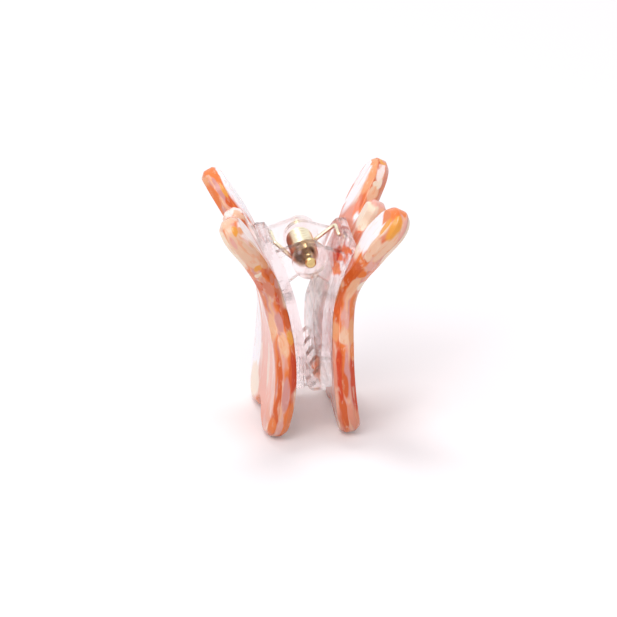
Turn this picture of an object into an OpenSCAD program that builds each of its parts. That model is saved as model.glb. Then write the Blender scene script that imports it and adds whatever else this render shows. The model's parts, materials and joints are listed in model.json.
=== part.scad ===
// Butterfly claw clip: two bent acetate butterflies bonded to the two moulded halves of a clear claw,
// which turn on a brass pin and are held shut by a brass torsion spring.
// X runs from the left jaw to the right jaw, Y along the hinge pin, Z up. The clip stands on the tips
// of its lower wings at Z = 0, with the origin between them.

/* [Butterfly plates] */
// Height of the hinge axis above the tips of the lower wings
hinge_z = 34; // [33:0.1:36]
// Thickness of the acetate sheet
sheet_t = 4.0; // [3:0.1:4.2]
// Width of the flat that is left in the middle of the bevelled edge
edge_flat = 1.8; // [1:0.1:2.2]
// Depth of each bevel, measured across the face
bevel_w = 0.9; // [0.8:0.1:1.2]
// Depth of the waist, where the two plates are closest, below the hinge
waist_drop = 18.5; // [17:0.5:20]
// Distance from the middle plane to the middle of the sheet at the waist
waist_x = 5.4; // [5.4:0.1:6.5]
// Radius that the sheet is bent to above the waist
upper_bend_r = 42; // [40:1:48]
// Lean of the straight upper wings, from vertical
upper_lean = 28.5; // [27:0.5:30]
// How far the tips of the upper wings are bent outwards, past the lean
wing_flare = 0.8; // [0:0.1:1.2]
// Radius that the sheet is bent to below the waist
lower_bend_r = 60; // [50:5:90]
// Lean of the straight lower wings, from vertical
lower_lean = 10; // [6:1:12]

/* [Claw frames] */
// Film of glue between each plate and its moulded half
glue_film = 0.06; // [0.04:0.02:0.2]
// Wall of the moulded halves
frame_t = 1.9; // [1.6:0.1:2]
// Half width of the top, along the pin
top_half = 7.4; // [7.2:0.1:8]
// Half width of the jaw, along the pin
jaw_half = 11; // [10.6:0.1:12]
// Top of the wall above the hinge, where it is bonded to the plate
wall_rise = 2.4; // [2:0.1:3]
// Bottom of the jaw below the hinge
jaw_drop = 24.4; // [24:0.1:25]
// Teeth on each jaw
teeth = 5; // [4:1:5]
// Distance from one tooth to the next on the same jaw
tooth_pitch = 4.4; // [4.2:0.1:4.6]
// Thickness of a tooth, along the pin
tooth_t = 1.7; // [1.4:0.1:1.7]

/* [Hinge] */
// Diameter of the hinge pin
pin_d = 2.1; // [1.8:0.1:2.2]
// Length of the hinge pin
pin_len = 15.4; // [15:0.1:16]
// Radial clearance of the pin in the half that turns on it
running_gap = 0.05; // [0.02:0.01:0.1]
// Outer diameter of the hinge lugs
lug_d = 6.6; // [6:0.1:6.8]
// Thickness of the outer lugs, flush with the sides of the top
outer_lug_t = 1.8; // [1.4:0.1:1.8]
// Thickness of the inner lugs, beside the coil
inner_lug_t = 1.4; // [1.2:0.1:1.5]

/* [Spring] */
// Diameter of the spring wire
wire_d = 0.65; // [0.5:0.05:0.65]
// Outer diameter of the coil
coil_d = 4.7; // [4.4:0.1:5]
// Whole turns in the coil, besides the quarter turn between its legs
coil_turns = 6; // [4:1:6]
// Half length of the coil, between the middles of its end turns
coil_half = 3.35; // [3.3:0.05:3.4]
// Height of the hooked ends above the hinge, where they bear on the walls
hook_rise = 2.6; // [2:0.1:2.6]
// Length of the hooked ends
hook_len = 5; // [3:0.5:6]

/* [Hidden] */
$fn = 64;

waist_z = hinge_z - waist_drop;

// Middle line of the bent sheet: a bend each way from the waist, then straight. h is the height above
// the waist; both return the value for the right-hand side.
function lean(h) = h >= 0 ? asin(min(h / upper_bend_r, sin(upper_lean)))
                          : -asin(min(-h / lower_bend_r, sin(lower_lean)));
function bent(h, r, a) = h < r * sin(a) ? r * (1 - cos(asin(h / r))) : r * (1 - cos(a)) + (h - r * sin(a)) * tan(a);
function sheet_x(h) = waist_x + (h >= 0 ? bent(h, upper_bend_r, upper_lean) : bent(-h, lower_bend_r, lower_lean));

// Point [x, z] at distance off outside the middle line, beside height z on it
function beside(z, off) = [sheet_x(z - waist_z) + off * cos(lean(z - waist_z)), z - off * sin(lean(z - waist_z))];

// Catmull-Rom curve through a closed ring of points, with k steps for each
function spline(p0, p1, p2, p3, t) =
    0.5 * (2 * p1 + t * (p2 - p0) + t * t * (2 * p0 - 5 * p1 + 4 * p2 - p3) + t * t * t * (3 * p1 - p0 - 3 * p2 + p3));
function smooth_ring(p, k) = let (n = len(p))
    [for (i = [0:n - 1], j = [0:k - 1]) spline(p[(i + n - 1) % n], p[i], p[(i + 1) % n], p[(i + 2) % n], j / k)];
function mirrored(p) = [for (i = [len(p) - 2:-1:1]) [-p[i][0], p[i][1]]];

// Butterfly: half of the outline as [y, height from the hinge], from the head between the upper wings,
// down into the notch beside it, round the upper wing, the notch at the side and the lower wing to the
// notch between the lower wings
half_outline = [
    [0, 8.1], [1.5, 7.8], [2.3, 6.6], [2.3, 4.9], [2.9, 3.8], [3.9, 3.9],
    [5, 5.2], [6.4, 7.4], [8.3, 9.9], [10.9, 11.2], [13.4, 11.1], [15.1, 9.2], [15.1, 6.2],
    [12.6, 1], [9, -4], [7.6, -7.8], [9.6, -11.4],
    [12.6, -15.6], [14.2, -21], [14, -27], [12, -32.2], [8, -34.2], [3.6, -33.4], [0, -31]
];
outline_steps = 3;
outline = smooth_ring(concat(half_outline, mirrored(half_outline)), outline_steps);
ring_n = len(outline);

// Outline moved inwards by d, for the inner edge of a bevel
function unit(v) = v / norm(v);
function inward(i) = let (t = unit(outline[(i + 1) % ring_n] - outline[(i + ring_n - 1) % ring_n])) [t[1], -t[0]];
function inset(d) = [for (i = [0:ring_n - 1]) outline[i] + d * inward(i)];

// Rings drawn in towards the middle of the body carry the bend across each face
body_centre = [0, -10];
face_steps = [0.84, 0.68, 0.52, 0.36, 0.2];
function drawn_in(s) = [for (p = inset(bevel_w)) body_centre + s * (p - body_centre)];

// The upper wings bend further out towards their tips, from the first of these heights to the second
flare_rise = [2.4, 9.5];
span = 15;
function eased(t) = t * t * (3 - 2 * t);
function flare_out(p) = let (t = (p[1] - flare_rise[0]) / (flare_rise[1] - flare_rise[0]))
    wing_flare * eased(max(0, min(1, t))) * pow(p[0] / span, 2);

// A ring of points on the sheet, [y, height from the hinge], lifted off its middle line and set down
// on the ground where it would pass it
function lift(ring, off, side) = [for (p = ring) let (q = beside(p[1] + hinge_z, off))
    [side * (q[0] + flare_out(p)), p[0], max(q[1], 0)]];

module plate(side) {
    half_t = sheet_t / 2;
    half_flat = edge_flat / 2;
    face_rings = len(face_steps);
    rings = concat(
        [for (i = [face_rings - 1:-1:0]) lift(drawn_in(face_steps[i]), half_t, side)],
        [lift(inset(bevel_w), half_t, side), lift(outline, half_flat, side)],
        [lift(outline, -half_flat, side), lift(inset(bevel_w), -half_t, side)],
        [for (i = [0:face_rings - 1]) lift(drawn_in(face_steps[i]), -half_t, side)]);
    bands = len(rings) - 1;
    outer_hub = len(rings) * ring_n;
    inner_hub = outer_hub + 1;
    points = concat([for (r = rings, p = r) p], lift([body_centre], half_t, side), lift([body_centre], -half_t, side));
    sides = [for (r = [0:bands - 1], i = [0:ring_n - 1])
        let (a = r * ring_n + i, b = r * ring_n + (i + 1) % ring_n, c = a + ring_n, d = b + ring_n)
        each [[a, b, d], [a, d, c]]];
    caps = [for (i = [0:ring_n - 1])
        each [[outer_hub, (i + 1) % ring_n, i],
              [inner_hub, bands * ring_n + i, bands * ring_n + (i + 1) % ring_n]]];
    faces = concat(sides, caps);
    polyhedron(points, side < 0 ? faces : [for (f = faces) [f[2], f[1], f[0]]], convexity = 6);
}

module left_plate() { color([0.93, 0.52, 0.33]) plate(-1); }
module right_plate() { color([0.93, 0.52, 0.33]) plate(1); }

// Solid of a profile drawn in X and Z, from y0 to y1
module along_pin(y0, y1) { translate([0, y1, 0]) rotate([90, 0, 0]) linear_extrude(y1 - y0) children(); }

// Wall of one moulded half, seen along the pin: bonded to the inner face of its plate from the jaw's
// edge to a rounded top a little above the hinge
bond = -sheet_t / 2 - glue_film;
jaw_bottom = hinge_z - jaw_drop;
wall_top = hinge_z + wall_rise + bond * sin(lean(hinge_z + wall_rise - waist_z));
wall_lean = lean(wall_top - waist_z);
wall_steps = 14;
crown = 0.5;
arc_step = 15;
past = 1;  // how far a cutter or a profile runs past what it cuts
profile_foot = jaw_bottom - past;
function wall_z(i) = profile_foot + (wall_top - profile_foot) * i / wall_steps;
function wall_side(off) = [for (i = [0:wall_steps]) beside(wall_z(i), off)];
function reversed(p) = [for (i = [len(p) - 1:-1:0]) p[i]];
wall_outward = [cos(wall_lean), -sin(wall_lean)];
wall_upward = [sin(wall_lean), cos(wall_lean)];
module wall_profile() {
    middle = beside(wall_top, bond - frame_t / 2);
    top = [for (a = [arc_step:arc_step:180 - arc_step]) middle + frame_t / 2 * cos(a) * wall_outward + crown * sin(a) * wall_upward];
    polygon(concat(wall_side(bond), top, reversed(wall_side(bond - frame_t))));
}

// Wall seen from inside: its top as wide as the hinge, the jaw flared, and both rounded at the corners
top_corner_r = 3.5;
jaw_corner_r = 2;
inner_top = wall_rise + frame_t * sin(wall_lean) + crown / 2;
widening = [-8, -16];
widening_steps = 8;
function corner(y, z, r, a0) = [for (a = [a0:arc_step:a0 + 90]) [y, z] + r * [cos(a), sin(a)]];
function wall_side_at(t) = [top_half + (jaw_half - top_half) * eased(t), widening[0] + (widening[1] - widening[0]) * t];
module wall_outline() {
    lower = corner(jaw_half - jaw_corner_r, jaw_corner_r - jaw_drop, jaw_corner_r, -90);
    rise = [for (i = [widening_steps:-1:0]) wall_side_at(i / widening_steps)];
    upper = corner(top_half - top_corner_r, inner_top - top_corner_r, top_corner_r, 0);
    half = concat(lower, rise, upper);
    translate([0, hinge_z]) polygon(concat(half, [for (p = reversed(half)) [-p[0], p[1]]]));
}
module wall() {
    intersection() {
        along_pin(-jaw_half, jaw_half) wall_profile();
        rotate([90, 0, 90]) linear_extrude(beside(wall_top, past)[0]) wall_outline();
    }
}

// Teeth: rounded hooks that reach across the gap and pass between those of the other jaw. A tooth's
// back falls away from its root on a parabola, and its nose is round. Points here are [x, height from
// the hinge].
tooth_root = [2.4, -19.6];
tooth_back = [1.6, 0.7];
tooth_r = 1.5;
nose_at = [0.4, tooth_r - jaw_drop];
module tooth_profile() {
    back = [for (t = [0:0.25:1]) tooth_root - [tooth_back[0] * t, tooth_back[1] * t * t]];
    nose = [for (a = [100:20:280]) nose_at + tooth_r * [cos(a), sin(a)]];
    translate([0, hinge_z]) polygon(concat(back, nose, [[tooth_root[0], -jaw_drop]]));
}
first_tooth_y = -(teeth - 1) / 2 * tooth_pitch - tooth_pitch / 4;
module teeth_row() {
    for (i = [0:teeth - 1]) {
        y = first_tooth_y + i * tooth_pitch;
        along_pin(y - tooth_t / 2, y + tooth_t / 2) tooth_profile();
    }
}

// Lugs: a round eye on the pin, carried by a web from the wall
web_top = [7, 1.1];
web_foot = [4.4, -5.2];
web_top_angle = 70;
web_foot_angle = -62;
module lug(y0, y1) {
    r = lug_d / 2;
    along_pin(y0, y1) translate([0, hinge_z]) {
        circle(r);
        polygon([r * [cos(web_top_angle), sin(web_top_angle)], web_top, web_foot,
                 r * [cos(web_foot_angle), sin(web_foot_angle)]]);
    }
}
outer_lug_y = top_half - outer_lug_t;
lug_gap = 0.2;
inner_lug_y = outer_lug_y - lug_gap - inner_lug_t;

// Spring seat: two low ribs on the inner face of the wall, with the hooked end of the spring between
// them. The lower rib stops short of the leg, which comes up past it. Points here are [x, height from
// the hinge].
coil_r = (coil_d - wire_d) / 2;
inner_end = beside(wall_top, bond - frame_t) - [0, hinge_z];
seat = inner_end - (inner_end[1] - hook_rise) / cos(wall_lean) * wall_upward;
hook_gap = 0.1;
hook_at = seat - (wire_d / 2 + hook_gap) * wall_outward;
rib_gap = wire_d + 0.2;
rib_w = 0.5;
rib_rise = 0.45;
rib_root = 0.4;
bend_r = 0.8;
module spring_seat() {
    for (step = [-1, 1]) {
        along_pin(coil_half - hook_len, step < 0 ? coil_half - bend_r - wire_d / 2 : coil_half + rib_w)
            translate(seat + [0, hinge_z] + step * (rib_gap + rib_w) / 2 * wall_upward) rotate(-wall_lean)
                translate([-rib_rise, -rib_w / 2]) square([rib_rise + rib_root, rib_w]);
    }
}

// The half on the right: near outer lug, far inner lug. The other half is the same moulding turned
// half a turn about Z.
module moulded_half(bore_d) {
    difference() {
        union() {
            wall();
            teeth_row();
            lug(-top_half, -outer_lug_y);
            lug(inner_lug_y, inner_lug_y + inner_lug_t);
            spring_seat();
        }
        translate([0, top_half + past, hinge_z]) rotate([90, 0, 0]) cylinder(h = 2 * (top_half + past), d = bore_d);
    }
}

module right_frame() { color([0.93, 0.87, 0.89, 0.6]) moulded_half(pin_d); }
module left_frame() { color([0.93, 0.87, 0.89, 0.6]) rotate([0, 0, 180]) moulded_half(pin_d + 2 * running_gap); }

// Pin with a small chamfer at each end
pin_chamfer = 0.25;
module hinge_pin() {
    half = pin_len / 2;
    color([0.85, 0.66, 0.32])
        translate([0, 0, hinge_z]) rotate([90, 0, 0])
            rotate_extrude()
                polygon([[0, -half], [pin_d / 2 - pin_chamfer, -half], [pin_d / 2, -half + pin_chamfer],
                         [pin_d / 2, half - pin_chamfer], [pin_d / 2 - pin_chamfer, half], [0, half]]);
}

// Spring: hook, leg, coil, leg and hook as one tube along one path. The coil starts at its near end,
// low on the left, and ends at its far end, low on the right. Each leg leaves it on a tangent that
// meets the seat on its wall.
leg_angle = atan2(hook_at[1], hook_at[0]) + asin(coil_r / norm(hook_at));
leg_len = sqrt(hook_at * hook_at - coil_r * coil_r);
coil_start = 270 - leg_angle;
coil_sweep = 360 * coil_turns + 2 * leg_angle;
rings_per_turn = 8;
coil_rings = round(rings_per_turn * coil_sweep / 360);
tube_sides = 6;
bend_steps = 3;
leg_steps = 4;

function on_coil(t) = let (a = coil_start + coil_sweep * t)
    [coil_r * cos(a), -coil_half + 2 * coil_half * t, hinge_z + coil_r * sin(a)];
coil_path = [for (i = [0:coil_rings]) on_coil(i / coil_rings)];

// Far leg and hook, from the coil outwards; the near ones are the same, turned half a turn about Z
leg_dir = [cos(leg_angle), 0, sin(leg_angle)];
hook_dir = [0, -1, 0];
leg_root = on_coil(1);
leg_end = leg_root + (leg_len - bend_r) * leg_dir;
function hook_bend(a) = leg_end + bend_r * (sin(a) * leg_dir + (1 - cos(a)) * hook_dir);
far_end = concat(
    [for (i = [1:leg_steps]) leg_root + (leg_len - bend_r) * i / leg_steps * leg_dir],
    [for (i = [1:bend_steps]) hook_bend(90 * i / bend_steps)],
    [hook_bend(90) + (hook_len - bend_r) * hook_dir]);
near_end = [for (p = reversed(far_end)) [-p[0], -p[1], p[2]]];
spring_path = concat(near_end, coil_path, far_end);

// Least gap from turn to turn, over points at least half a turn apart along the path
path_n = len(spring_path);
least_gap = min([for (i = [0:path_n - 1], j = [i + rings_per_turn / 2:1:path_n - 1])
    norm(spring_path[i] - spring_path[j])]) - wire_d;
echo(spring_least_gap_mm = least_gap);

// Frames carried along the path without twist
function tangent(p, i) = unit(p[min(i + 1, len(p) - 1)] - p[max(i - 1, 0)]);
function square_to(v, t) = unit(v - (v * t) * t);
function frames(p, i = 0, v = [0, 0, 1]) = i == len(p) ? [] :
    let (n = square_to(v, tangent(p, i))) concat([n], frames(p, i + 1, n));
module torsion_spring() {
    n = frames(spring_path);
    rings = [for (i = [0:path_n - 1]) let (b = cross(tangent(spring_path, i), n[i]))
        [for (k = [0:tube_sides - 1]) let (a = 360 * k / tube_sides)
            spring_path[i] + wire_d / 2 * (cos(a) * n[i] + sin(a) * b)]];
    skin = [for (i = [0:path_n - 2], k = [0:tube_sides - 1])
        let (a = i * tube_sides + k, b = i * tube_sides + (k + 1) % tube_sides, c = a + tube_sides, d = b + tube_sides)
        each [[a, d, b], [a, c, d]]];
    last = (path_n - 1) * tube_sides;
    ends = [for (k = [1:tube_sides - 2]) each [[0, k, k + 1], [last, last + k + 1, last + k]]];
    color([0.9, 0.74, 0.4]) polyhedron([for (r = rings, p = r) p], concat(skin, ends), convexity = 8);
}

left_plate();
right_plate();
left_frame();
right_frame();
hinge_pin();
torsion_spring();
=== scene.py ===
"""Looks of the butterfly claw clip: marbled acetate plates, clear claw, brass pin and wound spring.

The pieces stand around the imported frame, in metres and in its own axes: X from the left jaw to the
right jaw, Y along the hinge pin, Z up. Shapes are worked out in millimetres and scaled once.
"""

import json
import math

import bpy
import numpy as np
from mathutils import Matrix, Vector


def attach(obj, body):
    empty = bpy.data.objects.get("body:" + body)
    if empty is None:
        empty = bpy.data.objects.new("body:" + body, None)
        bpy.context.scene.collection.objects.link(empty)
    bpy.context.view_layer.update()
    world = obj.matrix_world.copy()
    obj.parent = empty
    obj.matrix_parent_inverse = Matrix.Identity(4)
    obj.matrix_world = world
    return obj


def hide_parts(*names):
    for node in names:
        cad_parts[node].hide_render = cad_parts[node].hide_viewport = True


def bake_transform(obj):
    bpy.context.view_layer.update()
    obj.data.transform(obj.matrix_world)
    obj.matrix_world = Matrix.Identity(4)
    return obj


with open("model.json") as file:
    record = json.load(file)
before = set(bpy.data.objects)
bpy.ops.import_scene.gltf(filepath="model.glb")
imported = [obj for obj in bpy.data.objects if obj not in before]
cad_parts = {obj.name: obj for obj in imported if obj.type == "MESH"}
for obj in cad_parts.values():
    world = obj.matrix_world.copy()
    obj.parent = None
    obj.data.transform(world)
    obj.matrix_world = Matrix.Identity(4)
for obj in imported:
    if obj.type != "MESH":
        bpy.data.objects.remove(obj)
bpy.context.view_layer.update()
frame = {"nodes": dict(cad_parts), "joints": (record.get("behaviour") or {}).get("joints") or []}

MM = 0.001
HINGE = Vector(frame["joints"][0]["pos_m"])
HINGE_Z = HINGE.z / MM

# ---------------------------------------------------------------- camera

IMAGE_PX = 617
PX_PER_MM = 5.4
CAMERA_DISTANCE = 1.2
CAMERA_AZIMUTH = math.radians(-8.3)
CAMERA_ELEVATION = math.radians(24)
HINGE_PX = (304.9, 247.0)
SENSOR_MM = 36


def add_camera():
    """A long lens that looks along the pin, from a little to the left and above."""
    towards = Vector((
        math.sin(CAMERA_AZIMUTH) * math.cos(CAMERA_ELEVATION),
        -math.cos(CAMERA_AZIMUTH) * math.cos(CAMERA_ELEVATION),
        math.sin(CAMERA_ELEVATION),
    ))
    right = Vector((math.cos(CAMERA_AZIMUTH), math.sin(CAMERA_AZIMUTH), 0))
    up = towards.cross(right)
    half = IMAGE_PX / 2
    sideways = (half - HINGE_PX[0]) / PX_PER_MM * MM
    upwards = (HINGE_PX[1] - half) / PX_PER_MM * MM
    data = bpy.data.cameras.new("camera")
    data.sensor_width = SENSOR_MM
    data.lens = PX_PER_MM / MM * CAMERA_DISTANCE * SENSOR_MM / IMAGE_PX
    data.clip_end = 20
    camera = bpy.data.objects.new("camera", data)
    turn = Matrix((right, up, towards)).transposed().to_4x4()
    place = HINGE + CAMERA_DISTANCE * towards + sideways * right + upwards * up
    camera.matrix_world = Matrix.Translation(place) @ turn
    bpy.context.scene.collection.objects.link(camera)
    bpy.context.scene.camera = camera


# ---------------------------------------------------------------- shader helpers


def srgb(r, g, b):
    """An sRGB colour, given as it looks from 0 to 255, in the linear values that shaders take."""
    def linear(v):
        v /= 255
        return v / 12.92 if v <= 0.04045 else ((v + 0.055) / 1.055) ** 2.4
    return (linear(r), linear(g), linear(b), 1)


class Shader:
    """A node tree that is written as nested calls. Sockets and plain values can both be inputs."""

    def __init__(self, owner):
        owner.use_nodes = True
        self.tree = owner.node_tree
        self.tree.nodes.clear()

    def add(self, kind, inputs=(), **settings):
        node = self.tree.nodes.new(kind)
        for name, value in settings.items():
            setattr(node, name, value)
        for key, value in dict(inputs).items():
            socket = node.inputs[key]
            if isinstance(value, bpy.types.NodeSocket):
                self.tree.links.new(value, socket)
            else:
                socket.default_value = value
        return node

    def math(self, operation, a, b):
        return self.add("ShaderNodeMath", {0: a, 1: b}, operation=operation).outputs[0]

    def vector(self, operation, a, b):
        return self.add("ShaderNodeVectorMath", {0: a, 1: b}, operation=operation).outputs[0]

    def length(self, a):
        return self.add("ShaderNodeVectorMath", {0: a}, operation="LENGTH").outputs["Value"]

    def noise(self, at, scale, detail, roughness=0.5, distortion=0.0):
        return self.add("ShaderNodeTexNoise", {
            "Vector": at, "Scale": scale, "Detail": detail, "Roughness": roughness, "Distortion": distortion,
        }).outputs

    def smooth(self, value, low, high, to_low, to_high):
        return self.add("ShaderNodeMapRange", {
            "Value": value, "From Min": low, "From Max": high, "To Min": to_low, "To Max": to_high,
        }, interpolation_type="SMOOTHSTEP").outputs[0]

    def mix(self, share, a, b):
        return self.add("ShaderNodeMix", {0: share, 6: a, 7: b}, data_type="RGBA").outputs[2]

    def ramp(self, value, stops):
        node = self.add("ShaderNodeValToRGB", {0: value})
        marks = node.color_ramp.elements
        while len(marks) < len(stops):
            marks.new(0.5)
        for mark, (place, colour) in zip(marks, stops):
            mark.position = place
            mark.color = colour
        return node.outputs[0]

    def bump(self, height, distance, strength):
        return self.add("ShaderNodeBump", {
            "Height": height, "Distance": distance, "Strength": strength,
        }).outputs[0]

    def place_mm(self):
        """The place on the piece, in millimetres."""
        place = self.add("ShaderNodeTexCoord").outputs["Object"]
        return self.vector("MULTIPLY", place, (1 / MM, 1 / MM, 1 / MM))

    def shown(self):
        """1 for a ray that shows the surroundings, straight or in gloss or glass, and 0 for any other."""
        rays = self.add("ShaderNodeLightPath").outputs
        through = self.math("MAXIMUM", rays["Is Glossy Ray"], rays["Is Transmission Ray"])
        return self.math("MAXIMUM", rays["Is Camera Ray"], through)

    def patch(self, at, middle, reach, full, none, ragged=None):
        """1 within the full share of an ellipsoid's reach, and 0 from the share called none. What is
        given as ragged moves its edge."""
        apart = self.length(self.vector("DIVIDE", self.vector("SUBTRACT", at, middle), reach))
        if ragged is not None:
            apart = self.math("ADD", apart, ragged)
        return self.smooth(apart, full, none, 1.0, 0.0)

    def surface(self, shader, volume=None):
        inputs = {"Surface": shader}
        if volume is not None:
            inputs["Volume"] = volume
        self.add("ShaderNodeOutputMaterial", inputs)


def new_shader(name):
    material = bpy.data.materials.new(name)
    return material, Shader(material)


def dress(piece, material):
    """Gives a piece one material, in place of any it has."""
    piece.data.materials.clear()
    piece.data.materials.append(material)


# ---------------------------------------------------------------- materials

RED_ORANGE = srgb(208, 64, 10)
DEEP_ORANGE = srgb(214, 92, 30)
ORANGE = srgb(234, 126, 62)
AMBER = srgb(236, 158, 62)
CORAL = srgb(236, 138, 106)
SALMON = srgb(228, 146, 120)
PINK = srgb(232, 170, 156)
MAUVE = srgb(214, 146, 138)
PEACH = srgb(242, 184, 146)
TAN = srgb(236, 190, 160)
APRICOT = srgb(234, 160, 112)
CREAM = srgb(246, 222, 198)
BLUSH = srgb(250, 228, 222)
WHITE = srgb(252, 246, 250)

# The sheet is laid up in layers, here from the inner face to the outer one. Currents in it move them.
LAYERS = [
    (0.03, CREAM), (0.12, SALMON), (0.25, DEEP_ORANGE), (0.36, ORANGE), (0.46, PINK), (0.55, PEACH),
    (0.65, MAUVE), (0.75, ORANGE), (0.85, SALMON), (0.93, PINK), (1.0, CREAM),
]
LAYER_SPREAD = 5.2
CURRENT_REACH = 2.6

# Grain of each noise and reach of each swirl: through the sheet, along the pin and in height
SWIRL_GRAIN = (0.45, 0.3, 0.16)
PATCH_SWIRL = (1.0, 2.4, 4.0)
CURRENT_SWIRL = (1.5, 6.0, 9.0)
CURRENT_GRAIN = (0.12, 0.16, 0.09)
STREAK_GRAIN = (1.5, 0.8, 0.16)

# A patch fades out between these shares of its reach
PATCH_FADE = (0.78, 1.12)


def acetate(name, seed, patches):
    """Marbled acetate. The mesh carries "flat", the place in the unbent sheet in millimetres as depth
    through it, distance along the pin and height. A patch is (middle, reach, colour) there."""
    material, s = new_shader(name)
    flat = s.add("ShaderNodeAttribute", attribute_name="flat").outputs["Vector"]
    shifted = s.vector("ADD", flat, (seed, seed * 1.7, -seed))
    turbulence = s.noise(s.vector("MULTIPLY", shifted, SWIRL_GRAIN), 1.0, 2)["Color"]
    swirl = s.vector("SUBTRACT", turbulence, (0.5, 0.5, 0.5))
    placed = s.vector("ADD", flat, s.vector("MULTIPLY", swirl, PATCH_SWIRL))
    drawn = s.vector("ADD", shifted, s.vector("MULTIPLY", swirl, CURRENT_SWIRL))
    current = s.noise(s.vector("MULTIPLY", drawn, CURRENT_GRAIN), 1.0, 2)[0]
    depth = s.add("ShaderNodeSeparateXYZ", {0: flat}).outputs[0]
    moved = s.math("ADD", depth, s.math("MULTIPLY", s.math("SUBTRACT", current, 0.5), 2 * CURRENT_REACH))
    colour = s.ramp(s.math("ADD", s.math("DIVIDE", moved, LAYER_SPREAD), 0.5), LAYERS)
    for middle, reach, patch_colour in patches:
        colour = s.mix(s.patch(placed, middle, reach, *PATCH_FADE), colour, patch_colour)
    streaks = s.noise(s.vector("MULTIPLY", drawn, STREAK_GRAIN), 1.0, 3, 0.55)[0]
    pale = s.smooth(streaks, 0.56, 0.72, 0.0, 0.4)
    dark = s.smooth(streaks, 0.44, 0.32, 0.0, 0.35)
    colour = s.mix(dark, s.mix(pale, colour, CREAM), ORANGE)
    ripple = s.bump(s.noise(flat, 0.3, 1)[0], 0.03 * MM, 0.4)
    acetate_node = s.add("ShaderNodeBsdfPrincipled", {
        "Base Color": colour, "Roughness": 0.2, "IOR": 1.47, "Specular IOR Level": 0.4, "Normal": ripple,
        "Subsurface Weight": 0.1, "Subsurface Radius": (1.0, 0.5, 0.3), "Subsurface Scale": 0.6 * MM,
        "Coat Weight": 0.1, "Coat Roughness": 0.05,
    })
    s.surface(acetate_node.outputs[0])
    return material


# Painted reflection: the orange of the plate glued to the right wall, which the wall shows in and through
# itself, painted onto the wall as its own colour: (middle, reach, colour) in millimetres
PAINTED_WALL_REFLECTIONS = [
    ((6, -6.2, 34.8), (1.9, 3.6, 2.5), srgb(238, 78, 28)),
    ((5, -7.6, 32.4), (1.2, 2.6, 2.2), srgb(238, 92, 40)),
    ((7.2, 0, 37), (1.2, 1.6, 1.2), srgb(190, 100, 80)),
    ((1.8, -6, 12.6), (1.3, 2.6, 4), srgb(226, 130, 90)),
]
WALL_REFLECTION_FADE = (0.6, 1.0)
WALL_REFLECTION_RAGGED = 2.5
CLEAR_PINK = srgb(255, 240, 238)
CLEAR_WHITE = srgb(255, 252, 252)
CLEAR_DEPTH = srgb(226, 176, 180)


def clear_plastic():
    """Clear moulded plastic, a little milky, with faint flow marks, a pink cast and a painted reflection of
    the plate's orange on the right wall.
    """
    material, s = new_shader("clear_plastic")
    at = s.place_mm()
    marks = s.noise(s.vector("MULTIPLY", at, (0.9, 0.5, 0.3)), 1.0, 3, 0.5, 0.4)[0]
    ragged = s.math("MULTIPLY", s.math("SUBTRACT", marks, 0.5), WALL_REFLECTION_RAGGED)
    colour = s.ramp(marks, [(0.36, CLEAR_PINK), (0.6, CLEAR_WHITE)])
    milkiness_and_wall_reflection = s.smooth(marks, 0.4, 0.6, 0.6, 0.84)
    # painted reflection: the plate's orange laid into the wall's colour, and the wall made less see-through
    # there
    for middle, reach, wall_reflection_colour in PAINTED_WALL_REFLECTIONS:
        wall_reflection_share = s.patch(at, middle, reach, *WALL_REFLECTION_FADE, ragged)
        colour = s.mix(wall_reflection_share, colour, wall_reflection_colour)
        milkiness_and_wall_reflection = s.math("MAXIMUM", milkiness_and_wall_reflection, wall_reflection_share)
    ripple = s.bump(s.noise(at, 1.3, 2)[0], 0.05 * MM, 0.5)
    plastic = s.add("ShaderNodeBsdfPrincipled", {
        "Base Color": colour, "Roughness": 0.04, "IOR": 1.32, "Transmission Weight": 1.0, "Alpha": milkiness_and_wall_reflection,
        "Normal": ripple,
    })
    tint = s.add("ShaderNodeVolumeAbsorption", {"Color": CLEAR_DEPTH, "Density": 14.0})
    s.surface(plastic.outputs[0], tint.outputs[0])
    return material


SPRING_BRASS = srgb(250, 242, 214)
SPRING_DARK = srgb(184, 136, 92)
PIN_BRASS = srgb(222, 194, 136)
PIN_DARK = srgb(150, 112, 56)
# Painted shade in the gaps between the coil's turns: how far in from the wire's outside it reaches, and how
# dark it gets
GAP_SHADE_DEPTH = 0.18
GAP_SHADE_DARK = 0.7
# Painted reflection on the coil: where it fades out, and how much of its colour shows
COIL_REFLECTION_FADE = (0.5, 1.1)
COIL_REFLECTION_SHARE = 0.85


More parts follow.
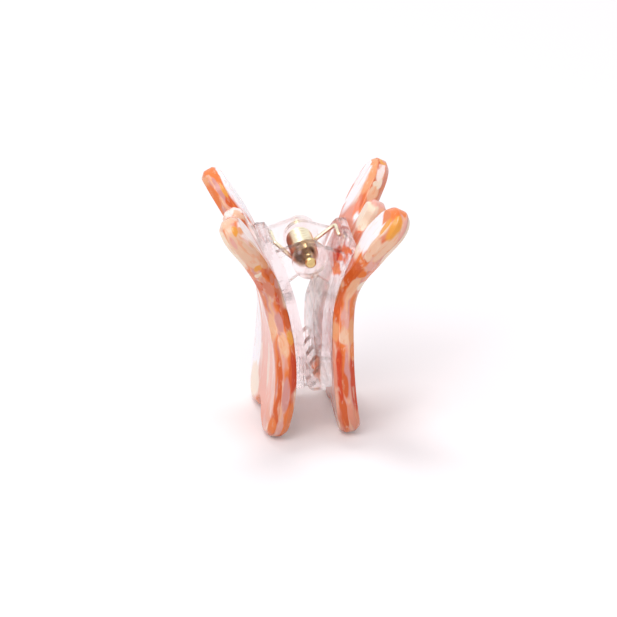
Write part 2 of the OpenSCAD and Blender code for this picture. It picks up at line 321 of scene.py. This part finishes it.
def brass(name, colour, dark, roughness, gap_shade=None, painted_reflection=None):
    """Polished brass with faint dark spots. The argument after the roughness is (x, z, radius) and paints
    shade: the brass is dark nearer than that to an axis along Y, as in the gaps between a coil's turns. The
    last is (middle, reach, colour) and paints the reflection of a plate's colour onto the brass."""
    material, s = new_shader(name)
    at = s.place_mm()
    dull_spots_and_gap_shade = s.smooth(s.noise(at, 0.7, 4, 0.6)[0], 0.5, 0.7, 0.0, 0.4)
    # painted shade: darker nearer the coil's axis, where the turns meet
    if gap_shade:
        x, z, radius = gap_shade
        apart = s.length(s.vector("SUBTRACT", s.vector("MULTIPLY", at, (1, 0, 1)), (x, 0, z)))
        dull_spots_and_gap_shade = s.math("MAXIMUM", dull_spots_and_gap_shade, s.smooth(apart, radius - GAP_SHADE_DEPTH, radius, GAP_SHADE_DARK, 0.0))
    shade = s.mix(dull_spots_and_gap_shade, colour, dark)
    # painted reflection: a plate's orange laid onto the brass
    if painted_reflection:
        middle, reach, coil_reflection_colour = painted_reflection
        coil_reflection_share = s.math("MULTIPLY", s.patch(at, middle, reach, *COIL_REFLECTION_FADE), COIL_REFLECTION_SHARE)
        shade = s.mix(coil_reflection_share, shade, coil_reflection_colour)
    marks = s.noise(s.vector("MULTIPLY", at, (1.0, 6.0, 1.0)), 2.5, 3)[0]
    metal = s.add("ShaderNodeBsdfPrincipled", {
        "Base Color": shade, "Metallic": 1.0,
        "Roughness": s.math("ADD", s.math("MULTIPLY", dull_spots_and_gap_shade, 0.15), roughness),
        "Normal": s.bump(marks, 0.01 * MM, 0.3),
    })
    s.surface(metal.outputs[0])
    return material


# ---------------------------------------------------------------- mesh helpers


def new_mesh(name, points, faces):
    """A smooth mesh object from points in millimetres."""
    mesh = bpy.data.meshes.new(name)
    mesh.from_pydata([tuple(p) for p in np.asarray(points) * MM], [], faces)
    mesh.validate()
    mesh.update()
    for polygon in mesh.polygons:
        polygon.use_smooth = True
    piece = bpy.data.objects.new(name, mesh)
    bpy.context.scene.collection.objects.link(piece)
    return piece


def stitch(rings, count):
    """Quads between rings of count points each, numbered one after another."""
    faces = []
    for ring in range(rings - 1):
        for i in range(count):
            a, b = ring * count + i, ring * count + (i + 1) % count
            faces.append((a, b, b + count, a + count))
    return faces


# ---------------------------------------------------------------- butterfly plates

SHEET_T = 4.0
EDGE_FLAT = 1.8
BEVEL_W = 0.9
WAIST_DROP = 18.5
WAIST_X = 5.4
UPPER_BEND_R, UPPER_LEAN = 42, math.radians(28.5)
WING_FLARE = 0.8
FLARE_RISE = (2.4, 9.5)
SPAN = 15
LOWER_BEND_R, LOWER_LEAN = 60, math.radians(10)

# Half of the outline from the head down: distance along the pin, height from the hinge
HALF_OUTLINE = [
    (0, 8.1), (1.5, 7.8), (2.3, 6.6), (2.3, 4.9), (2.9, 3.8), (3.9, 3.9),
    (5, 5.2), (6.4, 7.4), (8.3, 9.9), (10.9, 11.2), (13.4, 11.1), (15.1, 9.2), (15.1, 6.2),
    (12.6, 1), (9, -4), (7.6, -7.8), (9.6, -11.4),
    (12.6, -15.6), (14.2, -21), (14, -27), (12, -32.2), (8, -34.2), (3.6, -33.4), (0, -31),
]
OUTLINE_STEPS = 12

BODY_CENTRE = np.array((0, -10))
POLISHED_OFF = 0.03
CORNER_R = 0.2
CORNER_STEPS = 4
SUPPORT = 0.06
FACE_RINGS = 14


def sheet_line(height):
    """The bent sheet's middle line: its x and its lean from vertical, at heights from the hinge."""
    h = height + WAIST_DROP

    def branch(h, radius, most):
        bend = radius * math.sin(most)
        lean = np.arcsin(np.clip(h / radius, 0, math.sin(most)))
        x = radius * (1 - np.cos(lean)) + np.clip(h - bend, 0, None) * math.tan(most)
        return x, lean

    up_x, up_lean = branch(h, UPPER_BEND_R, UPPER_LEAN)
    down_x, down_lean = branch(-h, LOWER_BEND_R, LOWER_LEAN)
    return WAIST_X + np.where(h > 0, up_x, down_x), np.where(h > 0, up_lean, -down_lean)


def lift(ring, off, side):
    """Points of a ring (y, height) on the bent sheet, off its middle line and never below the ground."""
    x, lean = sheet_line(ring[:, 1])
    z = HINGE_Z + ring[:, 1] - off * np.sin(lean)
    rise = np.clip((ring[:, 1] - FLARE_RISE[0]) / (FLARE_RISE[1] - FLARE_RISE[0]), 0, 1)
    x = x + WING_FLARE * rise ** 2 * (3 - 2 * rise) * (ring[:, 0] / SPAN) ** 2
    return np.stack([side * (x + off * np.cos(lean)), ring[:, 0], np.maximum(z, 0)], 1)


def smooth_ring(points, steps):
    """A closed Catmull-Rom curve through the points."""
    p = np.asarray(points, float)
    before, after, later = np.roll(p, 1, 0), np.roll(p, -1, 0), np.roll(p, -2, 0)
    out = []
    for i in range(len(p)):
        for t in np.arange(steps) / steps:
            out.append(0.5 * (
                2 * p[i] + t * (after[i] - before[i])
                + t ** 2 * (2 * before[i] - 5 * p[i] + 4 * after[i] - later[i])
                + t ** 3 * (3 * p[i] - before[i] - 3 * after[i] + later[i])
            ))
    return np.array(out)


def rounded(corners, radius, steps):
    """A run of points with each inner corner turned into a small curve, and a support beside it."""
    out = [corners[0]]
    for before, corner, after in zip(corners, corners[1:], corners[2:]):
        before, corner, after = map(np.array, (before, corner, after))
        back = (before - corner) / np.linalg.norm(before - corner)
        on = (after - corner) / np.linalg.norm(after - corner)
        out.append(corner + back * (radius + SUPPORT))
        for t in np.linspace(0, 1, steps + 1):
            out.append((1 - t) ** 2 * (corner + back * radius) + 2 * t * (1 - t) * corner
                       + t ** 2 * (corner + on * radius))
        out.append(corner + on * (radius + SUPPORT))
    out.append(corners[-1])
    return np.array(out)


def plate(name, side, material):
    """One butterfly: faces drawn in towards the middle of the body, and a bevelled, polished rim."""
    half = np.array(HALF_OUTLINE, float)
    outline = smooth_ring(np.concatenate([half, half[-2:0:-1] * (-1, 1)]), OUTLINE_STEPS)
    along = np.roll(outline, -1, 0) - np.roll(outline, 1, 0)
    along /= np.linalg.norm(along, axis=1)[:, None]
    inward = np.stack([along[:, 1], -along[:, 0]], 1)
    outline = outline + POLISHED_OFF * inward
    count = len(outline)
    half_t = SHEET_T / 2
    face_edge = BEVEL_W + CORNER_R + 2 * SUPPORT
    profile = rounded([
        (face_edge, half_t), (BEVEL_W, half_t), (0, EDGE_FLAT / 2),
        (0, -EDGE_FLAT / 2), (BEVEL_W, -half_t), (face_edge, -half_t),
    ], CORNER_R, CORNER_STEPS)
    shares = np.linspace(0, 1, FACE_RINGS + 1)[1:-1]
    face_ring = outline + face_edge * inward
    drawn = [BODY_CENTRE + s * (face_ring - BODY_CENTRE) for s in shares]
    rings = [(r, half_t) for r in drawn]
    rings += [(outline + d * inward, off) for d, off in profile]
    rings += [(r, -half_t) for r in reversed(drawn)]
    hub = np.array([BODY_CENTRE], float)
    points = np.concatenate([lift(r, off, side) for r, off in rings]
                            + [lift(hub, half_t, side), lift(hub, -half_t, side)])
    flat = np.concatenate([np.column_stack([np.full(count, off), r]) for r, off in rings]
                          + [[(half_t, *BODY_CENTRE)], [(-half_t, *BODY_CENTRE)]])
    faces = stitch(len(rings), count)
    outer_hub, last = len(rings) * count, (len(rings) - 1) * count
    for i in range(count):
        faces.append((outer_hub, (i + 1) % count, i))
        faces.append((outer_hub + 1, last + i, last + (i + 1) % count))
    if side > 0:
        faces = [tuple(reversed(f)) for f in faces]
    piece = new_mesh(name, points, faces)
    layer = piece.data.attributes.new("flat", "FLOAT_VECTOR", "POINT")
    layer.data.foreach_set("vector", np.asarray(flat, np.float32).ravel())
    dress(piece, material)
    return piece


# Patches of the marbling: (depth, along the pin, height from the hinge) of the middle, reach, colour
LEFT_PATCHES = [
    # far upper wing and the head beside it
    ((-2.2, 10, 8), (1.3, 7, 7), WHITE),
    ((1.5, 12, 11), (0.9, 3.5, 2), APRICOT),
    ((1.5, 8, 8.5), (0.9, 2.6, 2.6), ORANGE),
    ((-0.5, 11, 11), (0.8, 4.5, 2.2), ORANGE),
    ((0.2, 8, 9), (0.5, 2.4, 1.8), MAUVE),
    ((-0.6, 8, 9), (0.5, 1.8, 1.6), AMBER),
    ((-0.2, 6.3, 7.0), (0.6, 1.2, 1.2), DEEP_ORANGE),
    ((-2.2, -2, 2.6), (0.9, 7, 5), BLUSH),
    ((0, 0, 8.2), (2.6, 2.4, 1.2), BLUSH),
    ((-1.2, -1.2, 6.8), (0.8, 2.2, 0.8), TAN),
    # near upper wing
    ((0, -14.4, 6.8), (1.5, 3.4, 5.2), TAN),
    ((0.3, -15, 8.2), (0.4, 1.4, 1.6), PINK),
    ((2.1, -14, 7.5), (1.1, 5, 5.5), CREAM),
    ((-2.1, -12.2, 7), (1.1, 5.5, 4), BLUSH),
    ((-1.9, -14, 4.6), (0.7, 2, 2.2), TAN),
    ((-0.9, -14.6, 9.6), (0.5, 1.5, 0.9), AMBER),
    ((0, -12.4, 11.4), (2.2, 1.9, 0.8), TAN),
    ((0, -13.3, 2.2), (0.9, 1.1, 1.2), AMBER),
    ((0.6, -12.2, 0.4), (0.9, 0.6, 0.5), CREAM),
    ((-1.6, -13, 2.5), (0.8, 1.6, 2.2), APRICOT),
    # the waist
    ((1.5, -9.5, -2.5), (0.9, 2.4, 2.8), DEEP_ORANGE),
    ((0, -9.5, -4), (1.0, 2.2, 3.0), SALMON),
    ((-1.5, -9.5, -3), (0.8, 2.5, 3.4), ORANGE),
    ((-0.7, -8.3, -7.2), (0.5, 1.2, 1.6), RED_ORANGE),
    # near lower wing
    ((1.5, -9.5, -11), (0.9, 2.6, 3.2), PEACH),
    ((0, -9, -11), (0.8, 2.2, 2.0), MAUVE),
    ((-1.5, -9, -10.2), (0.8, 2.2, 2.2), DEEP_ORANGE),
    ((-1.5, -11, -13.2), (0.8, 1.6, 1.4), AMBER),
    ((0.1, -12, -14.4), (1.0, 2.0, 2.2), PEACH),
    ((-1.4, -13.5, -19.4), (0.9, 2.2, 4.6), RED_ORANGE),
    ((1.2, -12, -25), (0.6, 5, 9.5), DEEP_ORANGE),
    ((0, -14, -23.4), (0.7, 2.0, 4.2), MAUVE),
    ((-1.2, -13, -29), (1.0, 3.0, 4.0), ORANGE),
    ((0.2, -12, -30.5), (0.8, 3.5, 2.4), PINK),
    ((1.5, -12, -30.5), (0.8, 3, 2.4), ORANGE),
    # outer face
    ((2, -3, -22), (0.9, 7, 13), CORAL),
    ((2, -4.5, -21), (0.8, 1.2, 5), TAN),
    ((1.5, 11.5, -22), (3.6, 6.5, 12.5), WHITE),
    ((2, -4.5, -10), (0.9, 4, 3), PINK),
    ((2, 7, -30), (1.5, 4.5, 3.2), CREAM),
    # small strokes over the rest
    ((0.2, 12.6, 11.5), (1.8, 1.8, 0.7), ORANGE),
    ((-1.4, -9.9, -1.8), (0.6, 1.4, 1.6), SALMON),
    ((-1.6, -8.4, -4.2), (0.5, 1, 1.6), PINK),
    ((-1.6, -14.5, 9.2), (0.5, 1.2, 1.2), APRICOT),
    ((1.4, 0.4, 7.6), (0.7, 1.6, 0.8), TAN),
]
RIGHT_PATCHES = [
    # far upper wing
    ((-1.5, 9.5, 9), (0.8, 5, 3.5), APRICOT),
    ((0, 9.3, 10), (0.85, 2.6, 1.3), BLUSH),
    ((0, 12.5, 11), (0.9, 2.0, 1.4), AMBER),
    ((-0.3, 7.7, 8.4), (0.5, 0.8, 0.8), CREAM),
    ((0, 6.6, 7), (1.0, 1.3, 1.4), PEACH),
    ((1.5, 11, 10), (0.9, 3.5, 3), CORAL),
    ((-2.2, 12.5, 6.5), (0.9, 5.4, 6), WHITE),
    ((-1.9, 4.5, 2), (0.9, 3.6, 3.6), CORAL),
    ((-2, 14.8, 8), (1, 0.7, 3.6), PINK),
    ((-2, 13.4, 3.6), (1, 0.8, 2.2), PINK),
    ((-2, 11.6, 1), (1, 0.8, 2), PINK),
    # the head
    ((-1.4, -1.5, 5.5), (1.6, 2.8, 2.8), CREAM),
    ((0, 0, 8), (1.6, 2.6, 1.0), PINK),
    ((-1.6, 2.8, 5.4), (0.9, 2.0, 3.4), WHITE),
    ((-2, -3.8, 1.8), (0.8, 1.8, 1.8), DEEP_ORANGE),
    ((-2.1, 1.4, -1.8), (0.6, 4.4, 3), RED_ORANGE),
    ((-2.1, -7.4, -16), (0.6, 3.6, 10), ORANGE),
    ((-2.1, 2, -21), (0.6, 4.6, 5), DEEP_ORANGE),
    # near upper wing
    ((-2.2, -9.8, 5.6), (0.6, 5.0, 4.6), WHITE),
    ((-1.8, -12, 9.9), (0.9, 3, 1.6), ORANGE),
    ((0, -12.3, 11.2), (1.0, 2.2, 0.8), ORANGE),
    ((0, -14.8, 5.4), (1.1, 2.0, 3.6), TAN),
    ((-0.7, -14.6, 8.6), (1.0, 1.4, 2.2), AMBER),
    ((0.7, -14.8, 9.4), (0.5, 1.4, 2), PINK),
    ((2.1, -14, 6), (1.1, 5, 6.5), CREAM),
    ((-1.5, -13.8, 4.6), (0.8, 1.6, 2), TAN),
    ((-1.6, -11.4, 0.2), (0.9, 1.6, 1.8), ORANGE),
    ((0.3, -12.6, 1.2), (0.9, 1.6, 1.6), PINK),
    # the waist
    ((-1.4, -9.5, -2.4), (1.1, 3.4, 3.4), DEEP_ORANGE),
    ((0.2, -10.6, -1.4), (0.7, 1.4, 1.2), ORANGE),
    ((0, -8.6, -5.4), (1.0, 2.4, 3), PEACH),
    ((-2, -6.8, -7), (0.9, 1.6, 3), APRICOT),
    ((1.5, -9, -4.5), (0.8, 2, 1.8), CREAM),
    ((1.5, -8, -8), (0.8, 1.6, 2.2), ORANGE),
    ((-1.5, -8, -8.4), (0.8, 1.6, 2.8), DEEP_ORANGE),
    ((-2, -5.5, -13.5), (0.5, 2.4, 5), RED_ORANGE),
    # near lower wing
    ((0, -9.4, -10.5), (0.9, 1.8, 2), PINK),
    ((-1.6, -10, -13.5), (0.8, 2.2, 2.4), APRICOT),
    ((0, -11.3, -13.2), (0.9, 2, 1.8), TAN),
    ((1.6, -10.4, -12), (0.9, 2.2, 3), APRICOT),
    ((-1.0, -13.4, -20.5), (0.55, 2.2, 5.4), RED_ORANGE),
    ((0.4, -13.6, -20), (0.6, 2, 4.6), MAUVE),
    ((-1.9, -13, -21), (0.6, 3, 8), SALMON),
    ((1.9, -13.4, -21.5), (1.1, 2.6, 7.5), RED_ORANGE),
    ((-0.6, -13.6, -28), (0.55, 2.6, 3.6), DEEP_ORANGE),
    ((0.6, -13, -28.5), (0.7, 3, 3.8), SALMON),
    # small strokes over the rest
    ((-2, -13.4, 7.8), (0.5, 1.2, 1.8), AMBER),
    ((-1.2, -13.2, 2.4), (0.7, 1.2, 1.2), TAN),
    ((-1.7, 11.6, 11), (0.6, 2.2, 0.8), APRICOT),
    ((0.8, 12.2, 11.4), (0.8, 1.6, 0.7), SALMON),
    ((1.6, 11.2, 10.4), (0.5, 2, 1.6), SALMON),
    ((-0.1, -14.3, -21.5), (0.6, 1.2, 3), DEEP_ORANGE),
    ((1.8, -12, -15.7), (0.8, 1.6, 2), ORANGE),
    ((0.5, 7.4, 8.8), (0.6, 1, 1.2), CREAM),
]


def add_plates():
    """Both butterflies. They have one shape and differ in their marbling."""
    for name, side, seed, patches in (("left", -1, 3.1, LEFT_PATCHES), ("right", 1, 21.4, RIGHT_PATCHES)):
        material = acetate(f"{name}_acetate", seed, patches)
        piece = plate(f"{name}_butterfly", side, material)
        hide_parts(f"{name}_plate")
        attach(piece, f"{name}_jaw")


# ---------------------------------------------------------------- spring

WIRE_R = 0.36
COIL_R = 2.12
COIL_HALF = 3.35
COIL_TURNS = 8
COIL_AT = (-0.58, 0.36)
HOOK_AT = (6.2, 2.8)
HOOK_LEN = 5
BEND_R = 0.8
TUBE_SIDES = 14
POINTS_PER_TURN = 40
OFF_WIRE = (0.3, 0.9, 0.2)  # any direction that no wire starts in
# painted shade in the gaps between the coil's turns, inside the wire's outer side
COIL_GAP_SHADE = (COIL_AT[0], HINGE_Z + COIL_AT[1], COIL_R + WIRE_R - 0.04)
# painted reflection of the left plate's orange on the coil's left side
SPRING_PAINTED_REFLECTION = ((-3, 0, 34), (1.2, 6, 2.6), srgb(196, 96, 56))
LEG_POINTS = 12
BEND_POINTS = 9
HOOK_POINTS = 9


def tube(name, path, material):
    """A round wire along a path, without twist, closed at both ends."""
    path = np.asarray(path, float)
    ahead = np.gradient(path, axis=0)
    ahead /= np.linalg.norm(ahead, axis=1)[:, None]
    normal = np.cross(ahead[0], OFF_WIRE)
    angles = np.linspace(0, 2 * math.pi, TUBE_SIDES, endpoint=False)
    points = []
    for at, along in zip(path, ahead):
        normal = normal - along * normal.dot(along)
        normal /= np.linalg.norm(normal)
        other = np.cross(along, normal)
        points += [at + WIRE_R * (math.cos(a) * normal + math.sin(a) * other) for a in angles]
    faces = stitch(len(path), TUBE_SIDES)
    faces.append(tuple(reversed(range(TUBE_SIDES))))
    faces.append(tuple(range((len(path) - 1) * TUBE_SIDES, len(path) * TUBE_SIDES)))
    piece = new_mesh(name, points, faces)
    dress(piece, material)
    return piece


def leg_angle(side):
    """The angle of a leg above level, on a tangent from the coil to its hook."""
    x, z = side * (side * HOOK_AT[0] - COIL_AT[0]), HOOK_AT[1] - COIL_AT[1]
    return math.atan2(z, x) + math.asin(COIL_R / math.hypot(x, z))


def coil_root(side):
    """Where a leg leaves the coil, at the coil's near end on the left and its far end on the right."""
    a = leg_angle(side)
    return np.array((COIL_AT[0] + side * COIL_R * math.sin(a), side * COIL_HALF,
                     HINGE_Z + COIL_AT[1] - COIL_R * math.cos(a)))


def leg_path(side):
    """A leg and its hook, from the coil outwards. The hook lies along the pin, back over the coil."""
    a = leg_angle(side)
    root = coil_root(side)
    out = np.array((side * math.cos(a), 0, math.sin(a)))
    back = np.array((0, -side, 0))
    reach = np.linalg.norm(np.array((side * HOOK_AT[0], side * COIL_HALF, HINGE_Z + HOOK_AT[1])) - root)
    straight = [root + out * t for t in np.linspace(0, reach - BEND_R, LEG_POINTS)]
    corner = straight[-1]
    bend = [corner + BEND_R * (math.sin(t) * out + (1 - math.cos(t)) * back)
            for t in np.linspace(0, math.pi / 2, BEND_POINTS)[1:]]
    hook = [bend[-1] + back * t for t in np.linspace(0, HOOK_LEN - BEND_R, HOOK_POINTS)[1:]]
    return straight + bend + hook


def coil_path():
    """The coil, wound close, from low on the left at the near end to low on the right at the far end."""
    start = 1.5 * math.pi - leg_angle(-1)
    end = 1.5 * math.pi + leg_angle(1) + 2 * math.pi * COIL_TURNS
    angles = np.linspace(start, end, POINTS_PER_TURN * COIL_TURNS)
    share = np.linspace(0, 1, len(angles))
    return np.stack([COIL_AT[0] + COIL_R * np.cos(angles), COIL_HALF * (2 * share - 1),
                     HINGE_Z + COIL_AT[1] + COIL_R * np.sin(angles)], 1)


def add_spring(material):
    """The coil, and a leg on each jaw that goes with it."""
    for name, side in (("left", -1), ("right", 1)):
        leg = tube(f"{name}_spring_leg", leg_path(side), material)
        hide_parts("torsion_spring")
        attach(leg, f"{name}_jaw")
    coil = tube("spring_coil", coil_path(), material)
    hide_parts("torsion_spring")
    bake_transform(coil)


# ---------------------------------------------------------------- stage

FLOOR_HALF = 3.0
FLOOR_LIT = (0.8, 0.8, 0.8, 1)
FLOOR_SHOWN = (0.8, 0.76, 0.77, 1)
FLOOR_GLOW = 0.16
WHITE_LIGHT = (1, 1, 1, 1)
SKY_LIGHT = (0.97, 0.96, 1, 1)
SKY_STRENGTH = 0.56


def add_floor():
    """A pale floor. Rays that show it see a slightly pink shade, which the lamps bring up to white."""
    corners = [(-1, -1), (1, -1), (1, 1), (-1, 1)]
    mesh = bpy.data.meshes.new("floor")
    mesh.from_pydata([(x * FLOOR_HALF, y * FLOOR_HALF, 0) for x, y in corners], [], [(0, 1, 2, 3)])
    floor = bpy.data.objects.new("floor", mesh)
    bpy.context.scene.collection.objects.link(floor)
    material, s = new_shader("floor")
    lit = s.add("ShaderNodeBsdfDiffuse", {"Color": FLOOR_LIT}).outputs[0]
    seen = s.add("ShaderNodeAddShader", {
        0: s.add("ShaderNodeBsdfDiffuse", {"Color": FLOOR_SHOWN}).outputs[0],
        1: s.add("ShaderNodeEmission", {"Color": WHITE_LIGHT, "Strength": FLOOR_GLOW}).outputs[0],
    }).outputs[0]
    s.surface(s.add("ShaderNodeMixShader", {0: s.shown(), 1: lit, 2: seen}).outputs[0])
    dress(floor, material)


def area_light(name, place, size, power, glints=True):
    """A square lamp that faces the hinge. Without glints it doesn't show in what is glossy."""
    data = bpy.data.lights.new(name, "AREA")
    data.size = size
    data.energy = power
    lamp = bpy.data.objects.new(name, data)
    lamp.visible_glossy = glints
    lamp.location = place
    lamp.rotation_euler = (HINGE - Vector(place)).to_track_quat("-Z", "Y").to_euler()
    bpy.context.scene.collection.objects.link(lamp)


def add_light():
    """A pale sky that shows as white, a soft lamp in front on the left and one above and behind."""
    world = bpy.data.worlds.new("studio")
    bpy.context.scene.world = world
    s = Shader(world)
    shown = s.shown()
    fill = s.smooth(shown, 0, 1, SKY_STRENGTH, 1.0)
    sky = s.mix(shown, SKY_LIGHT, WHITE_LIGHT)
    background = s.add("ShaderNodeBackground", {"Color": sky, "Strength": fill})
    s.add("ShaderNodeOutputWorld", {"Surface": background.outputs[0]})
    area_light("key", place=(-0.34, -0.52, 0.82), size=0.55, power=4.4)
    area_light("back", place=(-0.1, 0.24, 0.94), size=0.26, power=3.3, glints=False)


# ---------------------------------------------------------------- scene

add_camera()
add_floor()
add_light()
add_plates()
add_spring(brass("spring_brass", SPRING_BRASS, SPRING_DARK, 0.16, COIL_GAP_SHADE, SPRING_PAINTED_REFLECTION))
dress(frame["nodes"]["hinge_pin"], brass("pin_brass", PIN_BRASS, PIN_DARK, 0.22))
clear = clear_plastic()
for node in ("left_frame", "right_frame"):
    dress(frame["nodes"][node], clear)

bpy.context.scene.view_settings.view_transform = "Standard"
